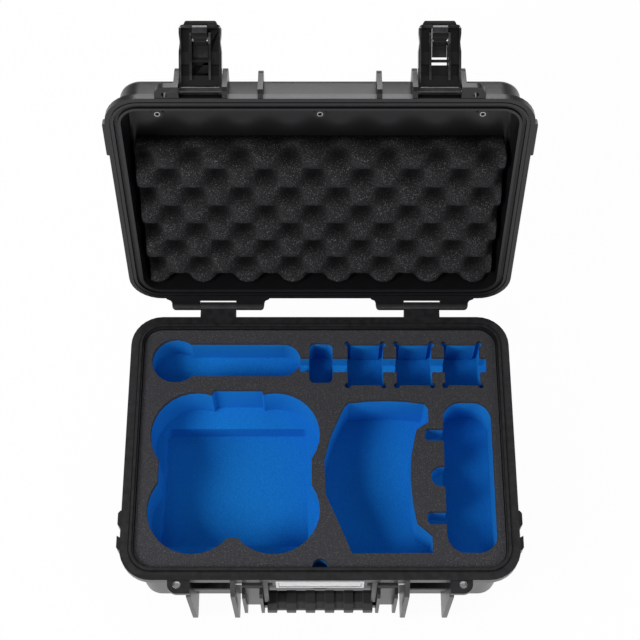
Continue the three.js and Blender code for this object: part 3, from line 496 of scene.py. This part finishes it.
SHELL = RigidFinish(
    "shell_black", (0.0075, 0.0075, 0.0085), (0.02, 0.02, 0.022), 0.33, mottle=0.05
)
LATCH = RigidFinish(
    "latch_black", (0.0075, 0.0075, 0.0085), (0.07, 0.07, 0.075), 0.24, mottle=0.05
)
RUBBER = RigidFinish(
    "grip_rubber", (0.014, 0.014, 0.0155), (0.03, 0.03, 0.032), 0.62,
    coat=Coat.RUBBER, grain_scale=700.0, grain_depth=0.3,
)
GASKET = RigidFinish(
    "gasket_rubber", (0.006, 0.006, 0.0065), (0.012, 0.012, 0.012), 0.55, coat=Coat.RUBBER
)
STEEL = RigidFinish(
    "turned_steel", (0.5, 0.5, 0.49), (0.7, 0.7, 0.7), 0.32,
    coat=Coat.METAL, grain_scale=500.0, grain_depth=0.05,
)
PLATE = RigidFinish(
    "nameplate_silver", (0.74, 0.75, 0.76), (0.9, 0.9, 0.9), 0.34,
    coat=Coat.METAL, grain_scale=1500.0, grain_depth=0.05,
)
GREY_FOAM = FoamFinish(
    "sheet_foam_grey", (0.034, 0.034, 0.039), (0.07, 0.07, 0.078), (0.17, 0.17, 0.18),
    1000.0, 0.34, 1150.0, 0.6,
)
BLUE_FOAM = FoamFinish(
    "block_foam_blue", (0.006, 0.19, 0.6), (0.012, 0.26, 0.76), (0.03, 0.36, 0.85),
    1300.0, 0.05, 1100.0, 0.4,
)
CHARCOAL_FOAM = FoamFinish(
    "convoluted_foam_charcoal", (0.011, 0.011, 0.012), (0.036, 0.036, 0.038),
    (0.22, 0.22, 0.22), 1100.0, 0.36, 1000.0, 0.9, painted_hollow_shade=0.85,
)


# ---------------------------------------------------------------------------
# Mesh helpers
# ---------------------------------------------------------------------------


def smooth_by_angle_group(degrees: float) -> bpy.types.NodeTree:
    """Builds a geometry group that shades smooth, but sharp past an angle.

    Args:
        degrees: The angle between faces past which an edge stays sharp.

    Returns:
        The geometry node group.
    """
    name = f"smooth_below_{degrees:.0f}"
    if name in bpy.data.node_groups:
        return bpy.data.node_groups[name]
    tree = bpy.data.node_groups.new(name, "GeometryNodeTree")
    tree.interface.new_socket(name="Geometry", in_out="INPUT", socket_type="NodeSocketGeometry")
    tree.interface.new_socket(name="Geometry", in_out="OUTPUT", socket_type="NodeSocketGeometry")
    begin = tree.nodes.new("NodeGroupInput")
    end = tree.nodes.new("NodeGroupOutput")
    faces = add_node(tree, "GeometryNodeSetShadeSmooth", domain="FACE")
    edges = add_node(tree, "GeometryNodeSetShadeSmooth", domain="EDGE")
    angle = add_node(tree, "GeometryNodeInputMeshEdgeAngle")
    sharp = maths(tree, "GREATER_THAN", angle.outputs["Unsigned Angle"], math.radians(degrees))
    feed(tree, faces.inputs["Geometry"], begin.outputs["Geometry"])
    feed(tree, edges.inputs["Geometry"], faces.outputs["Geometry"])
    feed(tree, edges.inputs["Selection"], sharp)
    edges.inputs["Shade Smooth"].default_value = False
    feed(tree, end.inputs["Geometry"], edges.outputs["Geometry"])
    return tree


@dataclass(frozen=True)
class EdgeBreak:
    """The small radius that a mould or a tool leaves on a piece's edges."""

    width: float
    segments: int = 2
    angle: float = 28.0

    def apply(self, piece: bpy.types.Object) -> None:
        """Adds the modifiers that round a piece's edges and shade it.

        Args:
            piece: A frame node or a modelled piece.
        """
        weld = piece.modifiers.new("weld", "WELD")
        weld.merge_threshold = MERGE_DISTANCE
        flat = piece.modifiers.new("flatten", "DECIMATE")
        flat.decimate_type = "DISSOLVE"
        flat.angle_limit = FLAT_ANGLE
        bevel = piece.modifiers.new("edge", "BEVEL")
        bevel.width = self.width
        bevel.segments = self.segments
        bevel.limit_method = "ANGLE"
        bevel.angle_limit = math.radians(self.angle)
        bevel.use_clamp_overlap = True
        bevel.miter_outer = "MITER_ARC"
        shade = piece.modifiers.new("shade", "NODES")
        shade.node_group = smooth_by_angle_group(SMOOTH_BELOW_DEGREES)
        level = piece.modifiers.new("level_normals", "WEIGHTED_NORMAL")
        level.keep_sharp = True


def baked(piece: bpy.types.Object) -> bpy.types.Object:
    """Turns a piece with live modifiers into a plain mesh object.

    Args:
        piece: The object whose modifiers are finished.

    Returns:
        A new object of the same name that holds the result.
    """
    bpy.context.view_layer.update()
    graph = bpy.context.evaluated_depsgraph_get()
    mesh = bpy.data.meshes.new_from_object(piece.evaluated_get(graph))
    name = piece.name
    bpy.data.objects.remove(piece)
    result = bpy.data.objects.new(name, mesh)
    bpy.context.scene.collection.objects.link(result)
    return result


def merged_copy(node: str, name: str) -> bpy.types.Object:
    """Copies a frame node's mesh and merges its loose triangles.

    Args:
        node: The frame node's name.
        name: The new piece's name.

    Returns:
        The copy, ready for modelling.
    """
    mesh = frame["nodes"][node].data.copy()
    work = bmesh.new()
    work.from_mesh(mesh)
    bmesh.ops.remove_doubles(work, verts=work.verts, dist=MERGE_DISTANCE)
    bmesh.ops.dissolve_limit(
        work, angle_limit=FLAT_ANGLE, verts=work.verts, edges=work.edges
    )
    work.to_mesh(mesh)
    work.free()
    piece = bpy.data.objects.new(name, mesh)
    bpy.context.scene.collection.objects.link(piece)
    return piece


def dress(piece: bpy.types.Object, material: bpy.types.Material) -> None:
    """Gives a piece one material, in its only slot."""
    if not piece.material_slots:
        piece.data.materials.append(material)
    for slot in piece.material_slots:
        slot.material = material


# ---------------------------------------------------------------------------
# Rigid pieces from the frame
# ---------------------------------------------------------------------------


@dataclass
class Hardware:
    """The rigid pieces, which keep their frame shape and get edges and finishes."""

    shell_edge: float = 0.7 * MM
    handle_edge: float = 1.3 * MM
    latch_edge: float = 0.4 * MM
    metal_edge: float = 0.2 * MM
    rubber_edge: float = 1.1 * MM

    def plan(self) -> list[tuple[tuple[str, ...], RigidFinish, EdgeBreak]]:
        """Returns node name beginnings with their finish and edge."""
        metal = EdgeBreak(self.metal_edge)
        return [
            (("base_shell", "lid_shell", "valve"), SHELL, EdgeBreak(self.shell_edge)),
            (("handle_frame",), SHELL, EdgeBreak(self.handle_edge, 3)),
            (("latch_body", "latch_rocker"), LATCH, EdgeBreak(self.latch_edge)),
            (("handle_grip",), RUBBER, EdgeBreak(self.rubber_edge, 3)),
            (("lid_gasket",), GASKET, EdgeBreak(self.latch_edge)),
            (("nameplate",), PLATE, metal),
            (("ear_bush", "hinge_pin", "handle_pin", "lid_insert"), STEEL, metal),
            (("latch_rod", "latch_pin", "latch_spring"), STEEL, metal),
        ]

    def build(self) -> None:
        """Dresses every rigid node."""
        for starts, finish, edge in self.plan():
            material = finish.build()
            for name, node in frame["nodes"].items():
                if name.startswith(starts):
                    dress(node, material)
                    edge.apply(node)
                    LOG.info("dressed %s", name)


# ---------------------------------------------------------------------------
# Foam in the base
# ---------------------------------------------------------------------------


@dataclass
class BaseFoam:
    """The blue block and the grey sheet on it, both cut with the same pockets."""

    cut_edge: float = 0.8 * MM
    sheet_edge: float = 1.0 * MM

    def layer(self, node: str, name: str, finish: FoamFinish, edge: float) -> bpy.types.Object:
        """Makes one foam layer from its frame solid.

        Args:
            node: The frame node it stands for.
            name: The piece's name.
            finish: The foam's finish.
            edge: How far the cut edges have rounded.

        Returns:
            The finished piece.
        """
        piece = merged_copy(node, name)
        EdgeBreak(edge, 2, 40.0).apply(piece)
        piece = baked(piece)
        dress(piece, finish.build())
        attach(piece, Body.BASE.value)
        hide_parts(node)
        return piece

    def build(self) -> None:
        """Builds both layers."""
        block = self.layer("base_foam", "foam_block", BLUE_FOAM, self.cut_edge)
        sheet = self.layer("base_foam_sheet", "foam_sheet", GREY_FOAM, self.sheet_edge)
        LOG.info("base foam: block and sheet")


# ---------------------------------------------------------------------------
# Convoluted foam in the lid
# ---------------------------------------------------------------------------


def joint(name: str) -> dict:
    """Returns one joint of the frame's record."""
    return next(entry for entry in frame["joints"] if entry["name"] == name)


@dataclass
class LidPlace:
    """Where the lid stands open, against the closed lid that its pieces are drawn for."""

    hinge: Vector
    open_angle: float

    @classmethod
    def from_frame(cls) -> LidPlace:
        """Reads the hinge line and the swing from the frame's joint."""
        entry = joint("lid_hinge")
        return cls(Vector(entry["pos_m"]), math.radians(max(entry["range_deg"])))

    def opened(self) -> Matrix:
        """Returns the move from the closed lid to the open one."""
        turn = Matrix.Rotation(-self.open_angle, 4, "X")
        return Matrix.Translation(self.hinge) @ turn @ Matrix.Translation(-self.hinge)

    def closed_box(self, node: str) -> tuple[Vector, Vector]:
        """Measures a node of the lid as if the lid were closed.

        Args:
            node: The frame node's name.

        Returns:
            The lowest and the highest corner.
        """
        back = self.opened().inverted()
        places = [back @ vertex.co for vertex in frame["nodes"][node].data.vertices]
        low = Vector(min(place[axis] for place in places) for axis in range(3))
        high = Vector(max(place[axis] for place in places) for axis in range(3))
        return low, high


@dataclass
class ConvolutedFoam:
    """The egg-crate sheet in the lid: peaks and hollows in offset rows."""

    place: LidPlace
    pitch_across: float = 50.0 * MM
    pitch_along: float = 54.4 * MM
    shift_across: float = 5.0 * MM
    shift_along: float = -20.0 * MM
    web: float = 17.5 * MM
    crest: float = 34.5 * MM
    step: float = 1.7 * MM
    sharpness: float = 0.7

    def height_tree(self) -> bpy.types.NodeTree:
        """Builds the geometry group that raises the peaks.

        Returns:
            A group whose named inputs are the slab's size, pitches and web.
        """
        tree = bpy.data.node_groups.new("convoluted_sheet", "GeometryNodeTree")
        for label in ("Width", "Length", "Thickness", "Web", "Pitch Across", "Pitch Along",
                      "Shift Across", "Shift Along", "Step"):
            tree.interface.new_socket(name=label, in_out="INPUT", socket_type="NodeSocketFloat")
        tree.interface.new_socket(
            name="Material", in_out="INPUT", socket_type="NodeSocketMaterial"
        )
        tree.interface.new_socket(
            name="Geometry", in_out="OUTPUT", socket_type="NodeSocketGeometry"
        )
        begin = tree.nodes.new("NodeGroupInput")
        end = tree.nodes.new("NodeGroupOutput")
        size = add_node(tree, "ShaderNodeCombineXYZ")
        feed(tree, size.inputs[0], begin.outputs["Width"])
        feed(tree, size.inputs[1], begin.outputs["Length"])
        feed(tree, size.inputs[2], begin.outputs["Thickness"])
        slab = add_node(tree, "GeometryNodeMeshCube")
        feed(tree, slab.inputs["Size"], size.outputs[0])
        across = maths(tree, "DIVIDE", begin.outputs["Width"], begin.outputs["Step"])
        along = maths(tree, "DIVIDE", begin.outputs["Length"], begin.outputs["Step"])
        feed(tree, slab.inputs["Vertices X"], across)
        feed(tree, slab.inputs["Vertices Y"], along)
        spot = add_node(tree, "GeometryNodeInputPosition")
        parts = add_node(tree, "ShaderNodeSeparateXYZ")
        feed(tree, parts.inputs[0], spot.outputs[0])
        waves = []
        for axis, way in ((0, "Across"), (1, "Along")):
            moved = maths(tree, "ADD", parts.outputs[axis], begin.outputs[f"Shift {way}"])
            turns = maths(tree, "DIVIDE", moved, begin.outputs[f"Pitch {way}"])
            waves.append(maths(tree, "COSINE", maths(tree, "MULTIPLY", turns, math.tau)))
        crest = maths(tree, "MULTIPLY", waves[0], waves[1])
        sign = maths(tree, "SIGN", crest)
        size_of = maths(tree, "POWER", maths(tree, "ABSOLUTE", crest), self.sharpness)
        shaped = maths(tree, "MULTIPLY", sign, size_of)
        share = maths(tree, "MULTIPLY_ADD", shaped, 0.5, 0.5)
        relief = maths(tree, "SUBTRACT", begin.outputs["Thickness"], begin.outputs["Web"])
        drop = maths(tree, "MULTIPLY", relief, maths(tree, "SUBTRACT", 1.0, share))
        face = maths(tree, "LESS_THAN", parts.outputs[2], 0.0)
        shift = add_node(tree, "ShaderNodeCombineXYZ")
        feed(tree, shift.inputs[2], maths(tree, "MULTIPLY", drop, face))
        move = add_node(tree, "GeometryNodeSetPosition")
        feed(tree, move.inputs["Geometry"], slab.outputs["Mesh"])
        feed(tree, move.inputs["Offset"], shift.outputs[0])
        depth = add_node(
            tree, "GeometryNodeStoreNamedAttribute", data_type="FLOAT", domain="POINT"
        )
        depth.inputs["Name"].default_value = HOLLOW
        feed(tree, depth.inputs["Geometry"], move.outputs[0])
        hollow = maths(tree, "MULTIPLY", maths(tree, "SUBTRACT", 1.0, share), face)
        feed(tree, depth.inputs["Value"], hollow)
        real = add_node(tree, "GeometryNodeRealizeInstances")
        feed(tree, real.inputs[0], depth.outputs[0])
        paint = add_node(tree, "GeometryNodeSetMaterial")
        feed(tree, paint.inputs["Geometry"], real.outputs[0])
        feed(tree, paint.inputs["Material"], begin.outputs["Material"])
        feed(tree, end.inputs[0], paint.outputs[0])
        return tree

    def build(self) -> None:
        """Builds the sheet and seats it in the open lid."""
        low, high = self.place.closed_box("lid_foam")
        low.z = high.z - self.crest
        size = high - low
        carrier = bpy.data.meshes.new("convoluted_foam")
        piece = bpy.data.objects.new("convoluted_foam", carrier)
        bpy.context.scene.collection.objects.link(piece)
        tree = self.height_tree()
        layer = piece.modifiers.new("sheet", "NODES")
        layer.node_group = tree
        values = {
            "Width": size.x, "Length": size.y, "Thickness": size.z, "Web": self.web,
            "Pitch Across": self.pitch_across, "Pitch Along": self.pitch_along,
            "Shift Across": self.shift_across, "Shift Along": self.shift_along,
            "Step": self.step, "Material": CHARCOAL_FOAM.build(),
        }
        for item in tree.interface.items_tree:
            if item.in_out == "INPUT" and item.name in values:
                layer[item.identifier] = values[item.name]
        piece = baked(piece)
        centre = Matrix.Translation((low + high) / 2)
        piece.data.transform(self.place.opened() @ centre)
        for face in piece.data.polygons:
            face.use_smooth = True
        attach(piece, Body.LID.value)
        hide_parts("lid_foam")
        LOG.info("lid foam: %d faces", len(piece.data.polygons))


# ---------------------------------------------------------------------------
# Studio
# ---------------------------------------------------------------------------


@dataclass(frozen=True)
class Softbox:
    """One square area lamp, aimed at a point."""

    name: str
    place: tuple[float, float, float]
    size: float
    power: float

    def build(self, target: Vector) -> None:
        """Builds the lamp.

        Args:
            target: The point it faces.
        """
        lamp = bpy.data.lights.new(self.name, "AREA")
        lamp.shape = "SQUARE"
        lamp.size = self.size
        lamp.energy = self.power
        holder = bpy.data.objects.new(self.name, lamp)
        holder.location = self.place
        aim = target - holder.location
        holder.rotation_euler = aim.to_track_quat("-Z", "Y").to_euler()
        holder.visible_camera = False
        bpy.context.scene.collection.objects.link(holder)


@dataclass
class Studio:
    """Pale floor, soft lamps, and a camera above and in front of the case."""

    focal_length: float = 80.53
    sensor: float = 36.0
    tilt_from_down: float = 24.63
    height_over_rim: float = 1.4598
    distance_ahead: float = 0.523
    floor_half: float = 6.0
    world_strength: float = 0.26
    lamps: tuple[Softbox, ...] = (
        Softbox("key", (-1.5, -0.9, 1.7), 0.9, 34.0),
        Softbox("fill", (1.7, -0.8, 1.2), 0.9, 9.0),
        Softbox("front", (0.0, -2.2, 0.5), 0.9, 5.0),
        Softbox("back", (0.0, 2.1, 1.75), 1.3, 30.0),
    )

    def camera(self) -> None:
        """Builds the camera."""
        lens = bpy.data.cameras.new("camera")
        lens.lens = self.focal_length
        lens.sensor_width = self.sensor
        lens.dof.use_dof = False
        holder = bpy.data.objects.new("camera", lens)
        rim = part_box("base_foam_sheet")[1][2] + RIM_OVER_FOAM
        holder.location = (0.0, -self.distance_ahead, rim + self.height_over_rim)
        holder.rotation_euler = (math.radians(self.tilt_from_down), 0.0, 0.0)
        bpy.context.scene.collection.objects.link(holder)
        bpy.context.scene.camera = holder

    def floor(self) -> None:
        """Builds the floor, which shows almost white and keeps a soft shadow."""
        work = bmesh.new()
        bmesh.ops.create_grid(work, x_segments=1, y_segments=1, size=self.floor_half)
        mesh = bpy.data.meshes.new("floor")
        work.to_mesh(mesh)
        work.free()
        floor = bpy.data.objects.new("floor", mesh)
        bpy.context.scene.collection.objects.link(floor)
        material, shader = new_material("floor_white")
        tree = material.node_tree
        shader.inputs["Base Color"].default_value = (0.86, 0.86, 0.86, 1.0)
        shader.inputs["Roughness"].default_value = 0.9
        glow = add_node(tree, "ShaderNodeEmission")
        glow.inputs["Color"].default_value = (1.0, 1.0, 1.0, 1.0)
        path = add_node(tree, "ShaderNodeLightPath")
        direct = maths(tree, "MULTIPLY", path.outputs["Is Camera Ray"], FLOOR_DIRECT_GLOW)
        mirrored = maths(tree, "MULTIPLY", path.outputs["Is Glossy Ray"], FLOOR_MIRRORED_GLOW)
        share = maths(tree, "MAXIMUM", direct, mirrored)
        mix = add_node(tree, "ShaderNodeMixShader")
        feed(tree, mix.inputs[0], share)
        feed(tree, mix.inputs[1], shader.outputs[0])
        feed(tree, mix.inputs[2], glow.outputs[0])
        feed(tree, tree.nodes["Material Output"].inputs["Surface"], mix.outputs[0])
        mesh.materials.append(material)
        floor.location.z = CAD_BOX[0][2] - FLOOR_DROP

    def world(self) -> None:
        """Builds the even surround."""
        world = bpy.data.worlds.new("surround")
        world.use_nodes = True
        sky = world.node_tree.nodes["Background"]
        sky.inputs["Color"].default_value = (1.0, 1.0, 1.0, 1.0)
        tree = world.node_tree
        path = add_node(tree, "ShaderNodeLightPath")
        strength = maths(tree, "MAXIMUM", path.outputs["Is Camera Ray"], self.world_strength)
        feed(tree, sky.inputs["Strength"], strength)
        bpy.context.scene.world = world

    def build(self) -> None:
        """Builds the whole studio."""
        bpy.context.scene.view_settings.view_transform = "Standard"
        self.camera()
        self.floor()
        self.world()
        low, high = (Vector(corner) for corner in CAD_BOX)
        for lamp in self.lamps:
            lamp.build((low + high) / 2)
        LOG.info("studio ready")


def main() -> None:
    """Builds the case's looks in order."""
    logging.basicConfig(level=logging.INFO, format="%(message)s")
    Studio().build()
    Hardware().build()
    BaseFoam().build()
    ConvolutedFoam(LidPlace.from_frame()).build()


if __name__ == "__main__":
    main()
